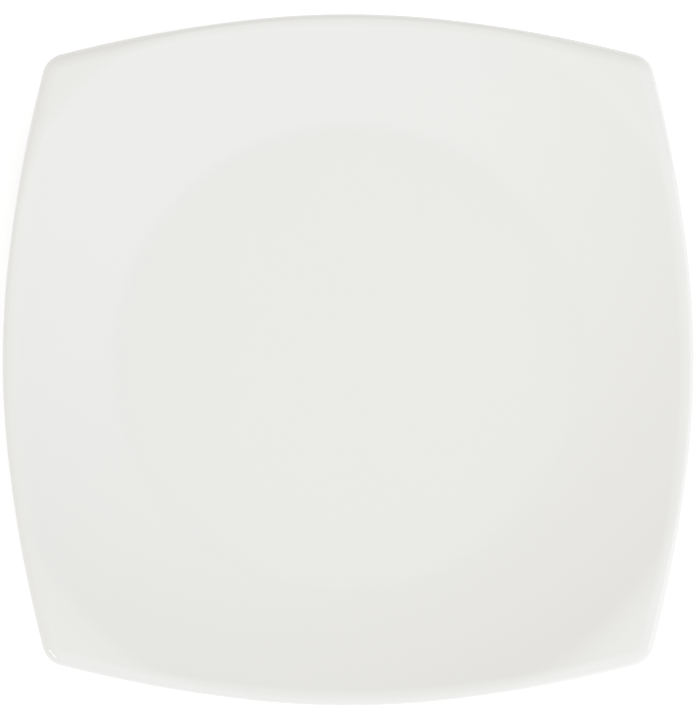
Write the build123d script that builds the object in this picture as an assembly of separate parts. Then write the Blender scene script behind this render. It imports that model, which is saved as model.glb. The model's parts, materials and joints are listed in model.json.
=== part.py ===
from build123d import *

import os
from math import atan2, cos, degrees, radians, sin, sqrt, tan

# A square dinner plate in glazed porcelain, standing on its foot at z = 0.
# Its face is a surface of revolution: a round flat well, a rim that curves up from it, and a
# bend that brings the rim level again. A rounded-square outline cuts that surface, so the
# corners end level while the middles of the sides are still climbing.
# Lengths are in millimetres and angles in degrees.

# Outline, seen from above
plate_width = 270.0             # between the middles of two opposite sides
side_crown_radius = 333.0       # the curve in the middle of each side
side_crown_half_angle = 7.3     # how far it turns each way from the middle
side_flank_radius = 580.0       # the flatter curve from there to the corner
corner_radius = 9.5

# Face, from the well outwards
well_radius = 88.0              # the flat middle
well_bend_radius = 34.5         # hollow bend between the well and the rim
rim_start_angle = 10.0
rim_curve_radius = 216.0        # hollow curve of the rim
rim_end_angle = 23.0
corner_bend_radius = 28.0       # round bend that levels the corners

# Wall, the same from the well to the lip
wall = 5.0
lip_top_radius = 2.9
lip_under_radius = 1.2

# Foot ring, under the edge of the well
foot_height = 3.5
foot_setback = 6.0              # from the edge of the well in to the foot's outer edge
foot_width = 4.0                # at its base
foot_draft = 15.0               # how far its sides lean from upright
foot_edge_radius = 1.0
foot_root_radius = 2.2

# Glaze, all over but the foot's tip, which is wiped bare before the firing
glaze_thickness = 0.25
glaze_line_height = 1.3

overrun = 5.0                   # what a cutting solid or a blank stands out past the plate

quarter_turn = 90.0
upright_share = 0.01            # a face is upright where its normal rises less than this


# A point in plan, from the centre of an arc
def around(centre, radius, angle):
    return centre + Vector(radius * cos(radians(angle)), radius * sin(radians(angle)))


# A point of the section, under the centre of an arc, or over it for a negative radius
def under(centre, radius, slope):
    return centre + Vector(radius * sin(radians(slope)), 0, -radius * cos(radians(slope)))


# Centres of the outline's arcs on the +X side. Each arc runs on from the one before it, and
# the corner's centre lies on the diagonal.
crown_centre = Vector(plate_width / 2 - side_crown_radius, 0)
flank_centre = around(crown_centre, side_crown_radius - side_flank_radius, side_crown_half_angle)
mirrored_flank_centre = Vector(flank_centre.Y, flank_centre.X)
corner_reach = side_flank_radius - corner_radius
flank_middle = (flank_centre.X + flank_centre.Y) / 2
flank_offset = (flank_centre.X - flank_centre.Y) / 2
corner_place = flank_middle + sqrt(corner_reach**2 / 2 - flank_offset**2)
corner_centre = Vector(corner_place, corner_place)
flank_end_angle = degrees(atan2(corner_place - flank_centre.Y, corner_place - flank_centre.X))
outline_reach = corner_centre.length + corner_radius

# Centres of the section's arcs on the face
well_height = foot_height + wall
well_bend_centre = Vector(well_radius, 0, well_height + well_bend_radius)
rim_centre = under(well_bend_centre, well_bend_radius - rim_curve_radius, rim_start_angle)
corner_bend_centre = under(rim_centre, rim_curve_radius + corner_bend_radius, rim_end_angle)
plate_height = corner_bend_centre.Z + corner_bend_radius
blank_radius = max(outline_reach, corner_bend_centre.X) + overrun


# The rounded square, drawn in by an inset
def outline(inset):
    flank_turn = flank_end_angle - side_crown_half_angle
    arcs = [
        CenterArc(crown_centre, side_crown_radius - inset, -side_crown_half_angle,
                  2 * side_crown_half_angle),
        CenterArc(flank_centre, side_flank_radius - inset, side_crown_half_angle, flank_turn),
        CenterArc(corner_centre, corner_radius - inset, flank_end_angle,
                  quarter_turn - 2 * flank_end_angle),
        CenterArc(mirrored_flank_centre, side_flank_radius - inset,
                  quarter_turn - flank_end_angle, flank_turn),
    ]
    return make_face([Rot(Z=quarter_turn * side) * arc for side in range(4) for arc in arcs])


# The bends of the section at a depth under the face, from the edge of the well outwards
def rim_run(depth):
    bends = [
        (well_bend_centre, well_bend_radius + depth, 0, rim_start_angle),
        (rim_centre, rim_curve_radius + depth, rim_start_angle, rim_end_angle),
        (corner_bend_centre, depth - corner_bend_radius, rim_end_angle, 0),
    ]
    return [
        ThreePointArc(*(under(centre, radius, slope) for slope in (first, (first + last) / 2, last)))
        for centre, radius, first, last in bends
    ]


# The line under the plate, from the centre over the foot ring to the edge of the well
def foot_run(inset):
    lean = tan(radians(foot_draft))
    side_inset = inset / cos(radians(foot_draft))
    foot_outer = well_radius - foot_setback
    base_outer = foot_outer - side_inset
    base_inner = foot_outer - foot_width + side_inset
    recess_height = foot_height + inset
    root_radius = foot_root_radius + inset
    return FilletPolyline(
        (0, 0, recess_height),
        (base_inner - recess_height * lean, 0, recess_height),
        (base_inner, 0, 0),
        (base_outer, 0, 0),
        (base_outer + recess_height * lean, 0, recess_height),
        (well_radius, 0, recess_height),
        radius=[root_radius, foot_edge_radius, foot_edge_radius, root_radius],
    )


# Half of the plate's section, drawn in by an inset, level past its last bend
def section(inset):
    face = rim_run(inset)
    underside = rim_run(wall - inset)
    foot = foot_run(inset)
    face_start, face_end = face[0] @ 0, face[-1] @ 1
    under_end = underside[-1] @ 1
    edges = [
        Line((0, 0, face_start.Z), face_start),
        *face,
        Line(face_end, (blank_radius, 0, face_end.Z)),
        Line((blank_radius, 0, face_end.Z), (blank_radius, 0, under_end.Z)),
        Line((blank_radius, 0, under_end.Z), under_end),
        *underside,
        *foot.edges(),
        Line(foot @ 0, (0, 0, face_start.Z)),
    ]
    return make_face(edges)


# Rounds the edge between the upright side and the faces that look up (1) or down (-1)
def round_lip(solid, looking, radius):
    side = solid.faces().filter_by(lambda face: abs(face.normal_at().Z) < upright_share)
    beside = solid.faces().filter_by(lambda face: face.normal_at().Z * looking > upright_share)
    return fillet([edge for edge in side.edges() if edge in beside.edges()], radius)


# The whole plate, drawn in by an inset all over but at its foot's base. The surface starts and
# ends on a diagonal, where a corner's curve is crossed squarely.
def plate(inset):
    blank = revolve(Rot(Z=quarter_turn / 2) * section(inset), Axis.Z)
    cutter = Pos(Z=-overrun) * extrude(outline(inset), plate_height + 2 * overrun)
    solid = round_lip(blank & cutter, 1, lip_top_radius - inset)
    return round_lip(solid, -1, lip_under_radius - inset)


# The fired clay under the glaze, with the bare tip of its foot
body = plate(glaze_thickness)

# The glaze is what lies between the body and the plate's full size. The bare foot parts it
# into a large sheet outside the ring and a small one inside it.
glaze = split(plate(0) - body, Plane.XY.offset(glaze_line_height), Keep.TOP)
recess_glaze, face_glaze = glaze.solids().sort_by(SortBy.VOLUME)

os.makedirs("parts", exist_ok=True)
nodes = {
    "porcelain_body": body,
    "face_and_rim_glaze": face_glaze,
    "foot_recess_glaze": recess_glaze,
}
for name, solid in nodes.items():
    export_step(solid, f"parts/{name}.step")
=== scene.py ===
import json
from math import atan2, cos, e, hypot, pi, radians, sin, sqrt, tan

import bmesh
import bpy
from mathutils import Matrix, Vector


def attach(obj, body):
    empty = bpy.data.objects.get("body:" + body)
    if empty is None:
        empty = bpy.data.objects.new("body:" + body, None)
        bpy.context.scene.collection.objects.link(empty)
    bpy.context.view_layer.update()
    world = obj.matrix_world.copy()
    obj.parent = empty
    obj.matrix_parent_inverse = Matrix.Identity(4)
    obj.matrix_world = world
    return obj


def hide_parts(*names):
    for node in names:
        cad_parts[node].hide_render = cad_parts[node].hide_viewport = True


# A square dinner plate in glazed porcelain. Shapes are modelled in millimetres and degrees, and
# each mesh is scaled to metres when it is finished.

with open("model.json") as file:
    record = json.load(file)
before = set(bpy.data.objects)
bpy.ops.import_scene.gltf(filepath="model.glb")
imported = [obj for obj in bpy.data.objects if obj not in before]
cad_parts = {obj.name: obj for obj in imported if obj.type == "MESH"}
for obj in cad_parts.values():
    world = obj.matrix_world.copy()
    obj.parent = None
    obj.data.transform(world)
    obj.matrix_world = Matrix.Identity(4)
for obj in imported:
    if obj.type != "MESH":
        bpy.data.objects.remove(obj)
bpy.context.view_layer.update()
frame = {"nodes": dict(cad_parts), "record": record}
mm = 0.001
mountHeights = {mount["name"]: mount["pos_m"][2] / mm for mount in frame["record"]["mounts"]}
print("frame loaded:", ", ".join(sorted(frame["nodes"])))

plateForm = {
    "width": 270.0,             # between the middles of two opposite sides
    "crownRadius": 333.0,       # outline: the middle of each side
    "crownTurn": 7.3,           # how far it turns each way
    "flankRadius": 580.0,       # outline: from there to the corner
    "cornerRadius": 9.5,
    "wellRadius": 88.0,         # section: the flat middle
    "wellBendRadius": 34.5,     # section: from the well up into the rim
    "rimStart": 10.0,
    "rimRadius": 216.0,         # section: the hollow curve of the rim
    "rimEnd": 23.0,
    "cornerBendRadius": 28.0,   # section: where the corners come level
    "wellHeight": mountHeights["well_face"],
    "wall": 5.0,
}

lipForm = {
    "shoulderReach": 6.2,       # how far inside the outline the lip begins to turn down
    "shoulderTurn": 0.135,      # slope that it gains on each millimetre of the way out
    "edgeReach": 2.4,           # the rounded edge outside the shoulder
    "edgeDrop": 1.8,
    "underReach": 1.3,
    "underRise": 0.6,
}

footForm = {
    "height": plateForm["wellHeight"] - plateForm["wall"],
    "setback": 6.0,             # from the edge of the well in to the ring's outer edge
    "width": 4.0,
    "draft": 15.0,
    "edgeRadius": 1.0,
    "rootRadius": 2.2,
    "roundSteps": 5,
}

glazeForm = {
    "thickness": 0.25,
    "lineHeight": 1.3,          # where the glaze stops, above what the plate stands on
    "lineRadius": 0.15,         # the glaze draws back into a soft bead there
    "lineSteps": 3,
    "endTurn": 60.0,            # an edge that folds more than this is where the sheet ends
}

# How finely each stretch of the plate is cut
meshSteps = {
    "crown": 20,
    "flank": 16,
    "corner": 24,
    "edge": 14,
    "shoulder": 20,
    "under": 8,
    "rim": 30,
    "bend": 6,
    "well": 9,
    "turn": 192,
}
joinReach = 0.01                # vertices nearer than this are one


# Section of the plate


def sectionBends(depth):
    # the three bends of the curve that runs a depth under the face, from the well outwards:
    # centre radius, centre height, bend radius, how far out it goes, and 1 where it is hollow
    form = plateForm
    start, end = radians(form["rimStart"]), radians(form["rimEnd"])
    wellX = form["wellRadius"]
    wellZ = form["wellHeight"] + form["wellBendRadius"]
    rimX = wellX + (form["wellBendRadius"] - form["rimRadius"]) * sin(start)
    rimZ = wellZ - (form["wellBendRadius"] - form["rimRadius"]) * cos(start)
    cornerX = rimX + (form["rimRadius"] + form["cornerBendRadius"]) * sin(end)
    cornerZ = rimZ - (form["rimRadius"] + form["cornerBendRadius"]) * cos(end)
    wellBend = form["wellBendRadius"] + depth
    rimBend = form["rimRadius"] + depth
    return [
        (wellX, wellZ, wellBend, wellX + wellBend * sin(start), 1),
        (rimX, rimZ, rimBend, rimX + rimBend * sin(end), 1),
        (cornerX, cornerZ, form["cornerBendRadius"] - depth, cornerX, -1),
    ]


rimFoot = sectionBends(0)[0][3]     # where the rim starts, out from the middle


def sectionHeight(radius, depth):
    if radius <= plateForm["wellRadius"]:
        return plateForm["wellHeight"] - depth
    for centreX, centreZ, bend, reach, hollow in sectionBends(depth):
        if radius <= reach:
            return centreZ - hollow * sqrt(bend**2 - (radius - centreX) ** 2)
    return centreZ + bend       # level beyond the last bend


def roundOff(inset, reach, drop):
    # a quarter of an ellipse: how far it has fallen away at an inset from its end
    share = max(0.0, 1 - inset / reach)
    return drop * (1 - sqrt(1 - share**2))


def lipTop(inset):
    shoulder = max(0.0, lipForm["shoulderReach"] - inset)
    edge = roundOff(inset, lipForm["edgeReach"], lipForm["edgeDrop"])
    return -lipForm["shoulderTurn"] * shoulder**2 / 2 - edge


def lipUnder(inset):
    return roundOff(inset, lipForm["underReach"], lipForm["underRise"])


def easeIn(reach, steps):
    # insets over a rounded edge, close together where it is steep
    return [reach * (1 - cos(pi / 2 * k / steps)) for k in range(1, steps + 1)]


shoulderWidth = lipForm["shoulderReach"] - lipForm["edgeReach"]
topInsets = easeIn(lipForm["edgeReach"], meshSteps["edge"]) + [
    lipForm["edgeReach"] + shoulderWidth * k / meshSteps["shoulder"]
    for k in range(1, meshSteps["shoulder"] + 1)
]
underInsets = [0.0] + easeIn(lipForm["underReach"], meshSteps["under"])


def footLine(inset):
    # the foot ring's section, from the edge of the well inwards to the middle
    form = footForm
    lean = tan(radians(form["draft"]))
    sideInset = inset / cos(radians(form["draft"]))
    top = form["height"] + inset
    outer = plateForm["wellRadius"] - form["setback"] - sideInset
    inner = plateForm["wellRadius"] - form["setback"] - form["width"] + sideInset
    corners = [
        (plateForm["wellRadius"], top, 0),
        (outer + top * lean, top, form["rootRadius"] + inset),
        (outer, 0, form["edgeRadius"]),
        (inner, 0, form["edgeRadius"]),
        (inner - top * lean, top, form["rootRadius"] + inset),
        (0, top, 0),
    ]
    line = bmesh.new()
    verts = [line.verts.new((x, 0, z)) for x, z, radius in corners]
    for pair in zip(verts, verts[1:]):
        line.edges.new(pair)
    # each corner turns from level to a side, and its round starts this many radii away from it
    roundReach = tan((pi / 2 - radians(form["draft"])) / 2)
    for vert, (x, z, radius) in zip(verts[1:-1], corners[1:-1]):
        bmesh.ops.bevel(
            line, geom=[vert], offset=radius * roundReach, segments=form["roundSteps"],
            profile=0.5, affect="VERTICES", material=-1,
        )
    here, spots, passed = verts[0], [], set()
    while here:
        spots.append((here.co.x, here.co.z))
        passed.add(here)
        ahead = [edge.other_vert(here) for edge in here.link_edges]
        here = next((vert for vert in ahead if vert not in passed), None)
    line.free()
    return spots


def downToLine(spots):
    # the part of a run down the foot that is glazed
    line = glazeForm["lineHeight"]
    glazed = []
    for (radius, height), (nextRadius, nextHeight) in zip(spots, spots[1:]):
        glazed.append((radius, height))
        if nextHeight < line:
            share = (height - line) / (height - nextHeight)
            return glazed + [(radius + (nextRadius - radius) * share, line)]
    return glazed


# Outline of the plate


def drawOutline(mesh, point, outward):
    # sweeps one vertex round the rounded square, arc by arc, and notes which way each one faces
    form = plateForm
    turn = radians(form["crownTurn"])
    crown = Vector((form["width"] / 2 - form["crownRadius"], 0, 0))
    flank = crown + Vector((cos(turn), sin(turn), 0)) * (form["crownRadius"] - form["flankRadius"])
    reach = form["flankRadius"] - form["cornerRadius"]
    place = (flank.x + flank.y) / 2 + sqrt(reach**2 / 2 - ((flank.x - flank.y) / 2) ** 2)
    flankEnd = atan2(place - flank.y, place - flank.x)
    arcs = [
        (crown, 2 * turn, meshSteps["crown"]),
        (flank, flankEnd - turn, meshSteps["flank"]),
        (Vector((place, place, 0)), pi / 2 - 2 * flankEnd, meshSteps["corner"]),
        (flank.yxz, flankEnd - turn, meshSteps["flank"]),
    ]
    last = mesh.verts.new(crown + Vector((cos(turn), -sin(turn), 0)) * form["crownRadius"])
    last[outward] = (last.co - crown).normalized()
    for side in range(4):
        quarter = Matrix.Rotation(side * pi / 2, 3, "Z")
        for centre, angle, steps in arcs:
            middle = quarter @ centre
            drawn = set(mesh.verts)
            swept = bmesh.ops.spin(
                mesh, geom=[last], cent=middle, axis=(0, 0, 1), angle=angle, steps=steps
            )
            for vert in set(mesh.verts) - drawn:
                vert[outward] = (vert.co - middle).normalized()
            last = next(g for g in swept["geom_last"] if isinstance(g, bmesh.types.BMVert))
    bmesh.ops.remove_doubles(mesh, verts=mesh.verts, dist=joinReach)
    for vert in mesh.verts:
        vert[point] = vert.co.copy()
    return list(mesh.edges)


# Skin of the plate, as rings from its edge inwards


def addRing(mesh, ring, place):
    # extrudes a closed ring of edges and puts each new vertex where place says
    made = bmesh.ops.extrude_edge_only(mesh, edges=ring)["geom"]
    verts = {g for g in made if isinstance(g, bmesh.types.BMVert)}
    for vert in verts:
        vert.co = place(vert)
    return [g for g in made if isinstance(g, bmesh.types.BMEdge) and set(g.verts) <= verts]


def buildSkin(inset, bareFoot):
    # the plate's surface drawn in by an inset, either whole or open at the glaze line
    mesh = bmesh.new()
    layers = mesh.verts.layers.float_vector
    noted = ("point", "outward")    # what each vertex keeps of the outline's vertex beside it
    for name in noted:
        layers.new(name)
    point, outward = layers["point"], layers["outward"]
    outline = drawOutline(mesh, point, outward)

    def onCircle(radius, height):
        def place(vert):
            spot = vert[point].normalized() * radius
            spot.z = height
            return spot
        return place

    def onRim(lip, share, depth, lipShape):
        # between the outline, drawn in, and the circle where the rim starts
        def place(vert):
            spot = vert[point] - vert[outward] * (inset + lip)
            spot = spot.lerp(vert[point].normalized() * rimFoot, share)
            spot.z = sectionHeight(spot.length, depth) + lipShape(lip)
            return spot
        return place

    def rimRings(ring, depth, insets, lipShape):
        for lip in insets:
            ring = addRing(mesh, ring, onRim(lip, 0, depth, lipShape))
        for k in range(meshSteps["rim"]):
            share = (k + 1) / meshSteps["rim"]
            ring = addRing(mesh, ring, onRim(insets[-1], share, depth, lipShape))
        for k in range(meshSteps["bend"]):
            share = (k + 1) / meshSteps["bend"]
            radius = rimFoot + (plateForm["wellRadius"] - rimFoot) * share
            ring = addRing(mesh, ring, onCircle(radius, sectionHeight(radius, depth)))
        return ring

    place = onRim(0, 0, inset, lipTop)
    for vert in mesh.verts:
        vert.co = place(vert)
    ring = rimRings(outline, inset, topInsets, lipTop)
    steps = meshSteps["well"]
    for k in range(1, steps):
        radius = plateForm["wellRadius"] * (1 - k / steps)
        ring = addRing(mesh, ring, onCircle(radius, plateForm["wellHeight"] - inset))
    bmesh.ops.contextual_create(mesh, geom=ring)

    ring = rimRings(outline, plateForm["wall"] - inset, underInsets, lipUnder)
    spots = footLine(inset)[1:]
    if bareFoot:
        for spot in spots[:-1]:
            ring = addRing(mesh, ring, onCircle(*spot))
        bmesh.ops.contextual_create(mesh, geom=ring)
    else:
        for spot in downToLine(spots):
            ring = addRing(mesh, ring, onCircle(*spot))
    for name in noted:
        layers.remove(layers[name])
    return mesh


def faceOutwards(mesh, middleLooks):
    # the face nearest the origin tells which way is out: it looks up (1) or down (-1)
    bmesh.ops.recalc_face_normals(mesh, faces=mesh.faces)
    middle = min(mesh.faces, key=lambda face: face.calc_center_median().length)
    if middle.normal.z * middleLooks < 0:
        bmesh.ops.reverse_faces(mesh, faces=mesh.faces)


def thickenGlaze(mesh):
    # gives the sheet of glaze its wall, inwards, and rounds its end on the foot
    bmesh.ops.solidify(mesh, geom=mesh.faces, thickness=glazeForm["thickness"])
    lineHeight = glazeForm["lineHeight"]
    footMiddle = plateForm["wellRadius"] - footForm["setback"] - footForm["width"] / 2

    def awayFromFoot(edge):
        return min(abs(hypot(vert.co.x, vert.co.y) - footMiddle) for vert in edge.verts)

    ends = [
        edge for edge in mesh.edges
        if edge.calc_face_angle(0) > radians(glazeForm["endTurn"])
        and all(abs(vert.co.z - lineHeight) < glazeForm["thickness"] for vert in edge.verts)
    ]
    farthest = max(awayFromFoot(edge) for edge in ends)
    outer = [edge for edge in ends if awayFromFoot(edge) > farthest - glazeForm["thickness"] / 2]
    bmesh.ops.bevel(
        mesh, geom=outer, offset=glazeForm["lineRadius"], segments=glazeForm["lineSteps"],
        profile=0.5, affect="EDGES", material=-1,
    )


def finishPiece(mesh, name, node, material):
    bmesh.ops.scale(mesh, vec=(mm, mm, mm), verts=mesh.verts)
    for face in mesh.faces:
        face.smooth = True
    data = bpy.data.meshes.new(name)
    mesh.to_mesh(data)
    mesh.free()
    data.materials.append(material)
    piece = bpy.data.objects.new(name, data)
    bpy.context.scene.collection.objects.link(piece)
    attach(piece, "root")
    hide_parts(node)
    print(name, "made of", len(data.polygons), "faces")


# Finishes


class Wire:
    # an output of a node, which can be used in sums
    def __init__(self, nodes, socket):
        self.nodes, self.socket = nodes, socket

    def sum(self, operation, first, second):
        return self.nodes.add("Math", {"operation": operation}, {0: first, 1: second})

    def __add__(self, other):
        return self.sum("ADD", self, other)

    def __radd__(self, other):
        return self.sum("ADD", other, self)

    def __sub__(self, other):
        return self.sum("SUBTRACT", self, other)

    def __rsub__(self, other):
        return self.sum("SUBTRACT", other, self)

    def __mul__(self, other):
        return self.sum("MULTIPLY", self, other)

    def __rmul__(self, other):
        return self.sum("MULTIPLY", other, self)

    def __truediv__(self, other):
        return self.sum("DIVIDE", self, other)

    def __rtruediv__(self, other):
        return self.sum("DIVIDE", other, self)

    def __pow__(self, other):
        return self.sum("POWER", self, other)

    def __rpow__(self, other):
        return self.sum("POWER", other, self)


class Nodes:
    # the node tree of a material or a world
    def __init__(self, owner):
        owner.use_nodes = True
        self.tree = owner.node_tree
        self.tree.nodes.clear()

    def add(self, kind, settings=None, sockets=None, output=0):
        node = self.tree.nodes.new("ShaderNode" + kind)
        for name, value in (settings or {}).items():
            setattr(node, name, value)
        for name, value in (sockets or {}).items():
            if isinstance(value, Wire):
                self.tree.links.new(value.socket, node.inputs[name])
            else:
                node.inputs[name].default_value = value
        return Wire(self, node.outputs[output]) if node.outputs else None

    def noise(self, place, size, detail):
        sockets = {"Vector": place, "Scale": 1 / (size * mm), "Detail": detail}
        return self.add("TexNoise", {}, sockets)

    def blend(self, share, first, second):
        # a Mix node's colours come in at its sockets 6 and 7 and go out at 2
        return self.add("Mix", {"data_type": "RGBA"}, {0: share, 6: first, 7: second}, 2)

    def dot(self, first, second):
        return self.add("VectorMath", {"operation": "DOT_PRODUCT"}, {0: first, 1: second}, "Value")

    def bump(self, height):
        # from heights in metres
        return self.add("Bump", {}, {"Height": height, "Distance": 1.0})

    def ramp(self, value, start, end):
        # 0 up to the start, 1 from the end on, and smooth between them
        smooth = {"interpolation_type": "SMOOTHSTEP"}
        return self.add("MapRange", smooth, {"Value": value, "From Min": start, "From Max": end})


noiseMiddle = 0.5               # what a noise varies about


def belt(value, middle, width):
    # 1 at the middle, fading to 0 on both sides
    away = (value - middle) / width
    return e ** (0 - away * away)


whiteGlazeLook = {
    "colour": (0.822, 0.82, 0.808, 1),
    "pooledColour": (0.803, 0.807, 0.798, 1),   # thick glaze is a shade greener
    "pooledOffset": 3.0,        # it lies deepest in the bend outside the well
    "pooledReach": 5.0,
    "pooledShare": 0.15,
    "swellShare": 0.3,
    "thinColour": (0.79, 0.765, 0.715, 1),      # the clay shows warm through thin glaze
    "thinReach": 0.5,           # how far above the glaze line
    "roughness": 0.06,
    "roughnessSpread": 0.03,
    "ior": 1.5,
    "peelSize": 3.0,            # the dimples of a fired glaze
    "peelDepth": 0.001,
    "swellSize": 24.0,          # the slow waves under them
    "swellDepth": 0.03,
    "noiseDetail": 1,
}


def whiteGlaze():
    look = whiteGlazeLook
    material = bpy.data.materials.new("whiteGlaze")
    nodes = Nodes(material)
    place = nodes.add("TexCoord", output="Object")
    flat = nodes.add("VectorMath", {"operation": "MULTIPLY"}, {0: place, 1: (1, 1, 0)})
    radius = nodes.add("VectorMath", {"operation": "LENGTH"}, {0: flat}, "Value")
    height = nodes.add("SeparateXYZ", {}, {"Vector": place}, "Z")
    peel = nodes.noise(place, look["peelSize"], look["noiseDetail"])
    swell = nodes.noise(place, look["swellSize"], look["noiseDetail"])
    deepest = plateForm["wellRadius"] + look["pooledOffset"]
    pooled = belt(radius, deepest * mm, look["pooledReach"] * mm)
    depth = pooled * look["pooledShare"] + swell * look["swellShare"]
    colour = nodes.blend(depth, look["colour"], look["pooledColour"])
    thin = belt(height, glazeForm["lineHeight"] * mm, look["thinReach"] * mm)
    waves = peel * (look["peelDepth"] * mm) + swell * (look["swellDepth"] * mm)
    shader = nodes.add("BsdfPrincipled", {}, {
        "Base Color": nodes.blend(thin, colour, look["thinColour"]),
        "Roughness": look["roughness"] + (peel - noiseMiddle) * look["roughnessSpread"],
        "Normal": nodes.bump(waves),
        "IOR": look["ior"],
    })
    nodes.add("OutputMaterial", {}, {"Surface": shader})
    return material


barePorcelainLook = {
    "colour": (0.80, 0.775, 0.72, 1),
    "darkColour": (0.68, 0.64, 0.57, 1),
    "grainShare": 0.5,          # how much of the dark the grain and the patches bring
    "patchShare": 0.4,
    "toastedColour": (0.66, 0.52, 0.38, 1),     # where the kiln has browned it beside the glaze
    "toastedReach": 0.3,
    "rubbedColour": (0.52, 0.51, 0.49, 1),      # where the foot has slid on shelves
    "rubbedReach": 0.15,
    "roughness": 0.75,
    "roughnessSpread": 0.2,
    "grainSize": 0.4,
    "grainDepth": 0.02,
    "patchSize": 15.0,
    "noiseDetail": 3,
}


def barePorcelain():
    look = barePorcelainLook
    material = bpy.data.materials.new("barePorcelain")
    nodes = Nodes(material)
    place = nodes.add("TexCoord", output="Object")
    height = nodes.add("SeparateXYZ", {}, {"Vector": place}, "Z")
    grain = nodes.noise(place, look["grainSize"], look["noiseDetail"])
    patch = nodes.noise(place, look["patchSize"], look["noiseDetail"])
    dark = grain * look["grainShare"] + patch * look["patchShare"]
    colour = nodes.blend(dark, look["colour"], look["darkColour"])
    toasted = belt(height, glazeForm["lineHeight"] * mm, look["toastedReach"] * mm)
    colour = nodes.blend(toasted * patch, colour, look["toastedColour"])
    rubbed = belt(height, 0, look["rubbedReach"] * mm)
    shader = nodes.add("BsdfPrincipled", {}, {
        "Base Color": nodes.blend(rubbed * patch, colour, look["rubbedColour"]),
        "Roughness": look["roughness"] + (patch - noiseMiddle) * look["roughnessSpread"],
        "Normal": nodes.bump(grain * (look["grainDepth"] * mm)),
    })
    nodes.add("OutputMaterial", {}, {"Surface": shader})
    return material


# The pieces


def makeFaceGlaze(glaze):
    mesh = buildSkin(0, False)
    faceOutwards(mesh, 1)
    thickenGlaze(mesh)
    finishPiece(mesh, "faceAndRimGlaze", "face_and_rim_glaze", glaze)


def makeRecessGlaze(glaze):
    # turned on Z: from the middle of the recess to the glaze line on the foot's inner wall
    mesh = bmesh.new()
    spots = downToLine(footLine(0)[::-1])
    verts = [mesh.verts.new((radius, 0, height)) for radius, height in spots]
    edges = [mesh.edges.new(pair) for pair in zip(verts, verts[1:])]
    bmesh.ops.spin(
        mesh, geom=verts + edges, cent=(0, 0, 0), axis=(0, 0, 1), angle=2 * pi,
        steps=meshSteps["turn"], use_merge=True,
    )
    bmesh.ops.remove_doubles(mesh, verts=mesh.verts, dist=joinReach)
    faceOutwards(mesh, -1)
    thickenGlaze(mesh)
    finishPiece(mesh, "footRecessGlaze", "foot_recess_glaze", glaze)


def makeBody(clay):
    mesh = buildSkin(glazeForm["thickness"], True)
    faceOutwards(mesh, -1)
    finishPiece(mesh, "porcelainBody", "porcelain_body", clay)


glaze = whiteGlaze()
makeFaceGlaze(glaze)
makeRecessGlaze(glaze)
makeBody(barePorcelain())


# Stage, light and camera

# A tent of white cloth over the plate. The camera looks in through an opening at its top, which
# the flat well mirrors and the rim doesn't.
tentForm = {
    "level": 0.6195,
    "overhead": 0.56,               # how much brighter it is at the top
    "lean": (-0.013, -0.195, 0),    # and towards the left and the bottom of the picture
    "openingShade": 0.24,
    "openingStart": 18.0,           # how far from straight up it starts to darken
    "openingFull": 6.0,
    "coolColour": (0.965, 0.998, 1.015, 1),
    "warmColour": (1.038, 1.002, 0.962, 1),
    "warmth": 0.5,                  # how far it is from cool to warm overhead
    "warmSide": (-0.35, 0.35, 0),   # warmer towards the left and the top of the picture
}


def makeTent():
    form = tentForm
    world = bpy.data.worlds.new("tent")
    bpy.context.scene.world = world
    nodes = Nodes(world)
    way = nodes.add("TexCoord", output="Generated")
    height = nodes.add("SeparateXYZ", {}, {"Vector": way}, "Z")
    overhead = nodes.add("Math", {"operation": "ABSOLUTE"}, {0: height}) * form["overhead"]
    openingStart = cos(radians(form["openingStart"]))
    openingFull = cos(radians(form["openingFull"]))
    opening = nodes.ramp(height, openingStart, openingFull) * form["openingShade"]
    warmth = form["warmth"] + nodes.dot(way, form["warmSide"])
    light = nodes.add("Background", {}, {
        "Color": nodes.blend(warmth, form["coolColour"], form["warmColour"]),
        "Strength": form["level"] + overhead + nodes.dot(way, form["lean"]) - opening,
    })
    nodes.add("OutputWorld", {}, {"Surface": light})


# A table that glows, though it is no lamp: a painted pool of light round the plate, so that the
# ground of the picture is white.
floorForm = {
    "size": 12.0,               # metres, as are the lengths below
    "gap": 0.00003,             # between it and the foot, so that the two don't share a plane
    "grey": 0.3,
    # painted shadow: the table glows less under the plate
    "paintedShadowGlow": 0.3,           # under the plate
    # a painted pool of light round the plate, brighter towards the right and the bottom of the
    # picture
    "paintedPoolGlow": 0.865,          # round the plate
    "paintedPoolLean": (0.125, -0.025, 0),     # more of it towards the right and the bottom
    "glowStart": 0.105,         # where the glow under the plate gives way to the one round it
    "glowFull": 0.138,
    "fadeStart": 0.17,          # and where that one fades
    "fadeEnd": 1.0,
    "skyShare": 2 / 3,          # what falls on level ground of light that grows with height
}


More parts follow.
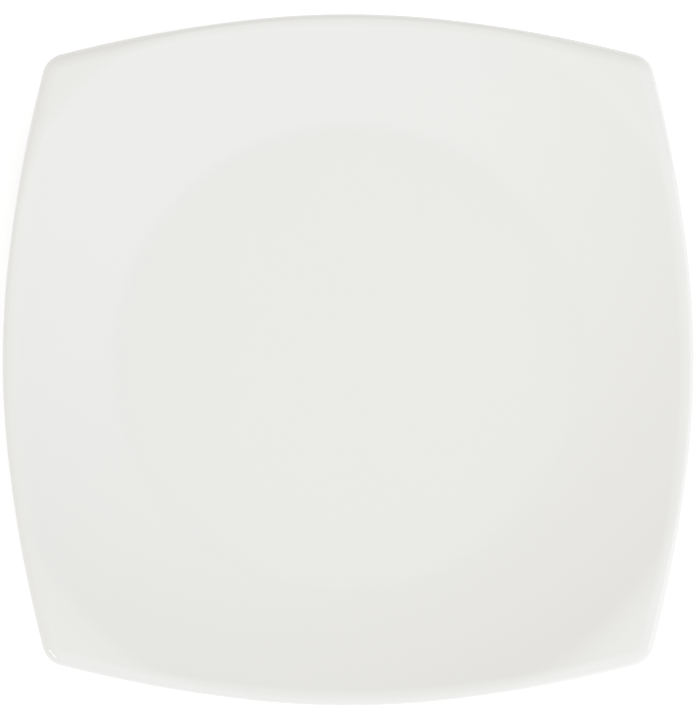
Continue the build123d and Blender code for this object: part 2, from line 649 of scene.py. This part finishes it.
def makeFloor():
    form = floorForm
    mesh = bmesh.new()
    bmesh.ops.create_grid(mesh, x_segments=1, y_segments=1, size=form["size"] / 2)
    bmesh.ops.translate(mesh, vec=(0, 0, -form["gap"]), verts=mesh.verts)
    data = bpy.data.meshes.new("floor")
    mesh.to_mesh(data)
    mesh.free()
    floor = bpy.data.objects.new("floor", data)
    bpy.context.scene.collection.objects.link(floor)
    material = bpy.data.materials.new("paintedLightTable")
    nodes = Nodes(material)
    place = nodes.add("TexCoord", output="Object")
    way = nodes.add("VectorMath", {"operation": "NORMALIZE"}, {0: place})
    # the distance from the middle, the same all round a square with bowed sides
    squared = nodes.add("VectorMath", {"operation": "MULTIPLY"}, {0: place, 1: place})
    away = nodes.add("VectorMath", {"operation": "LENGTH"}, {0: squared}, "Value") ** 0.5
    # the painted pool of light round the plate
    near = form["paintedPoolGlow"] + nodes.dot(way, form["paintedPoolLean"])
    # far off, the glow is painted light: it makes the table and the light that falls on it as
    # bright as the foot of the tent, leaning as the tent does
    fallen = form["grey"] * (tentForm["level"] + tentForm["overhead"] * form["skyShare"])
    far = tentForm["level"] - fallen + nodes.dot(way, tentForm["lean"])
    beside = near + (far - near) * nodes.ramp(away, form["fadeStart"], form["fadeEnd"])
    # from the painted shadow under the plate out to the painted pool of light round it
    pastPaintedShadow = nodes.ramp(away, form["glowStart"], form["glowFull"])
    under = form["paintedShadowGlow"]
    paper = nodes.add("BsdfDiffuse", {}, {"Color": (form["grey"], form["grey"], form["grey"], 1)})
    # the table's glow: painted light round the plate and painted shadow under it
    glow = nodes.add("Emission", {}, {"Strength": under + (beside - under) * pastPaintedShadow})
    lit = nodes.add("AddShader", {}, {0: paper, 1: glow})
    clear = nodes.add("BsdfTransparent")        # from below, so that the foot can be seen
    below = nodes.add("NewGeometry", output="Backfacing")
    shader = nodes.add("MixShader", {}, {0: below, 1: lit, 2: clear})
    nodes.add("OutputMaterial", {}, {"Surface": shader})
    data.materials.append(material)


# Soft boxes, in degrees and metres. Azimuth 0 is the right of the picture and 90 its top.
lampForms = {
    "sideBox": {
        "azimuth": 350.0,
        "elevation": 14.0,
        "distance": 1.2,
        "size": (0.8, 0.4),
        "watts": 1.65,
        "glintOnly": False,
    },
    "cornerBox": {
        "azimuth": 221.0,
        "elevation": 25.0,
        "distance": 1.2,
        "size": (0.5, 0.13),
        "watts": 1.3,
        "glintOnly": True,      # it shows in the gloss and lights nothing else
    },
}


def makeLamps():
    for name, form in lampForms.items():
        light = bpy.data.lights.new(name, "AREA")
        light.shape = "RECTANGLE"
        light.size, light.size_y = form["size"]
        light.energy = form["watts"]
        lamp = bpy.data.objects.new(name, light)
        bpy.context.scene.collection.objects.link(lamp)
        azimuth, elevation = radians(form["azimuth"]), radians(form["elevation"])
        way = Vector((cos(azimuth) * cos(elevation), sin(azimuth) * cos(elevation), sin(elevation)))
        lamp.location = way * form["distance"]
        lamp.rotation_euler = way.to_track_quat("Z", "Y").to_euler()
        lamp.visible_camera = False
        lamp.visible_diffuse = not form["glintOnly"]


cameraForm = {
    "distance": 2.0,            # metres, straight above
    "imageWidth": 699,          # pixels, as are the four values below
    "imageHeight": 712,
    "plateWidth": 691.4,
    "plateCentreX": 348.4,
    "plateCentreY": 359.9,
    "widestHeight": 16.0,       # millimetres: the height at which the sides stand out most
    "filmWidth": 36.0,          # millimetres
    "seesTo": 50.0,             # metres
}


def makeCamera():
    form = cameraForm
    lens = bpy.data.cameras.new("camera")
    camera = bpy.data.objects.new("camera", lens)
    bpy.context.scene.collection.objects.link(camera)
    bpy.context.scene.camera = camera
    pixel = plateForm["width"] * mm / form["plateWidth"]
    lens.sensor_fit = "HORIZONTAL"
    lens.sensor_width = form["filmWidth"]
    lens.lens = form["filmWidth"] * form["distance"] / (form["imageWidth"] * pixel)
    lens.clip_end = form["seesTo"]
    camera.location = (
        (form["imageWidth"] / 2 - form["plateCentreX"]) * pixel,
        (form["plateCentreY"] - form["imageHeight"] / 2) * pixel,
        form["distance"] + form["widestHeight"] * mm,
    )


makeFloor()
makeTent()
makeLamps()
makeCamera()
bpy.context.scene.view_settings.view_transform = "Standard"
print("stage, light and camera set")
